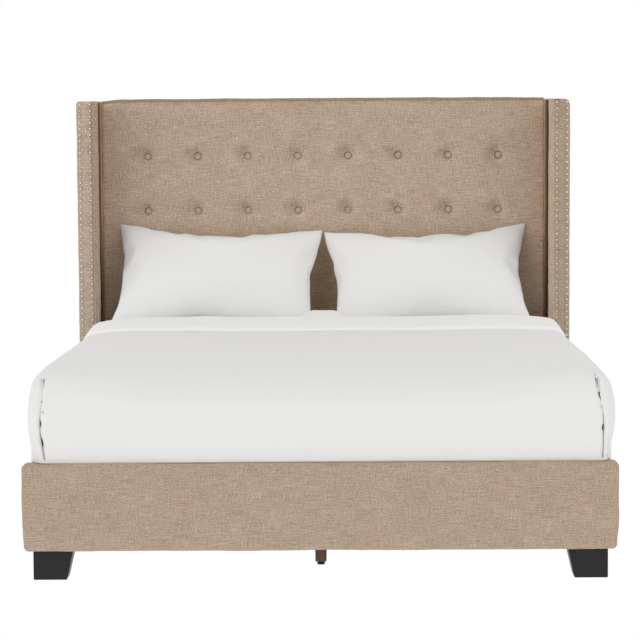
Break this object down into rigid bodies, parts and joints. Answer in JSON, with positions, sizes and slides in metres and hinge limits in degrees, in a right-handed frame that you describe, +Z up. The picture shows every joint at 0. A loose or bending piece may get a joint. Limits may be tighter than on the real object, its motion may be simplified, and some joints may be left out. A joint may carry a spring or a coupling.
{
  "type": "upholstered headboard bed",
  "caption": "Upholstered bed: button-tufted headboard between nail-trimmed wings, side rails, footboard, block legs, slats on screw-glide legs, box spring, mattress, duvet and pillows.",
  "frame": {"origin": "on the floor under the middle of the bed's bounding box", "axes": "+Z up; +Y along the bed from the foot to the head; +X to the right of a person who stands at the foot and looks at the headboard"},
  "size_m": [1.727, 2.2, 1.326],
  "materials": {
    "linen": "woven, matt",
    "cambric": "non-woven, matt",
    "pine": "sawn, unfinished",
    "plywood": "sanded, unfinished",
    "walnut": "stained, satin",
    "lacquer": "black lacquer, satin",
    "steel": "zinc plated",
    "nickel": "brushed nickel",
    "nylon": "matt",
    "ticking": "woven ticking",
    "cotton": "smooth cotton"
  },
  "bodies": {
    "frame": {"headboard_pad": "linen", "upper_button_row": "linen", "middle_button_row": "linen", "lower_button_row": "linen", "left_wing_cover": "linen", "right_wing_cover": "linen", "footboard_cover": "linen", "left_rail_cover": "linen", "right_rail_cover": "linen", "headboard_back_cover": "cambric", "left_headboard_post": "pine", "right_headboard_post": "pine", "headboard_top_rail": "pine", "headboard_bottom_rail": "pine", "left_wing_frame": "pine", "right_wing_frame": "pine", "left_rail_board": "pine", "right_rail_board": "pine", "left_slat_ledger": "pine", "right_slat_ledger": "pine", "slat_1": "pine", "slat_2": "pine", "slat_3": "pine", "slat_4": "pine", "headboard_face_board": "plywood", "footboard_core": "plywood", "centre_leg_1": "walnut", "centre_leg_2": "walnut", "centre_leg_3": "walnut", "centre_leg_4": "walnut", "left_front_leg": "lacquer", "right_front_leg": "lacquer", "left_rear_leg": "lacquer", "right_rear_leg": "lacquer", "left_foot_bracket": "steel", "right_foot_bracket": "steel", "left_head_bracket": "steel", "right_head_bracket": "steel", "left_foot_lower_bolt": "steel", "right_foot_lower_bolt": "steel", "left_foot_upper_bolt": "steel", "right_foot_upper_bolt": "steel", "left_head_lower_bolt": "steel", "right_head_lower_bolt": "steel", "left_head_upper_bolt": "steel", "right_head_upper_bolt": "steel", "left_inner_nail_strip": "nickel", "right_inner_nail_strip": "nickel", "left_outer_nail_strip": "nickel", "right_outer_nail_strip": "nickel"},
    "glide_1": {"glide_1": "nylon"},
    "glide_2": {"glide_2": "nylon"},
    "glide_3": {"glide_3": "nylon"},
    "glide_4": {"glide_4": "nylon"},
    "foundation": {"box_spring": "ticking"},
    "mattress": {"mattress": "ticking", "fitted_sheet": "cotton"},
    "duvet": {"duvet": "cotton"},
    "left_pillow": {"left_pillow": "cotton"},
    "right_pillow": {"right_pillow": "cotton"}
  },
  "joints": [
    {"name": "glide_1_screw", "type": "slide", "parent": "frame", "child": "glide_1", "axis": [0, 0, 1], "range_m": [-0.01, 0.006]},
    {"name": "glide_2_screw", "type": "slide", "parent": "frame", "child": "glide_2", "axis": [0, 0, 1], "range_m": [-0.01, 0.006]},
    {"name": "glide_3_screw", "type": "slide", "parent": "frame", "child": "glide_3", "axis": [0, 0, 1], "range_m": [-0.01, 0.006]},
    {"name": "glide_4_screw", "type": "slide", "parent": "frame", "child": "glide_4", "axis": [0, 0, 1], "range_m": [-0.01, 0.006]},
    {"name": "box_spring_lift", "type": "slide", "parent": "frame", "child": "foundation", "axis": [0, 0, 1], "range_m": [0, 0.35]},
    {"name": "mattress_lift", "type": "slide", "parent": "foundation", "child": "mattress", "axis": [0, 0, 1], "range_m": [0, 0.35]},
    {"name": "duvet_lift", "type": "slide", "parent": "mattress", "child": "duvet", "axis": [0, 0, 1], "range_m": [0, 0.4]},
    {"name": "left_pillow_lift", "type": "slide", "parent": "mattress", "child": "left_pillow", "axis": [0, 0, 1], "range_m": [0, 0.5]},
    {"name": "right_pillow_lift", "type": "slide", "parent": "mattress", "child": "right_pillow", "axis": [0, 0, 1], "range_m": [0, 0.5]}
  ]
}
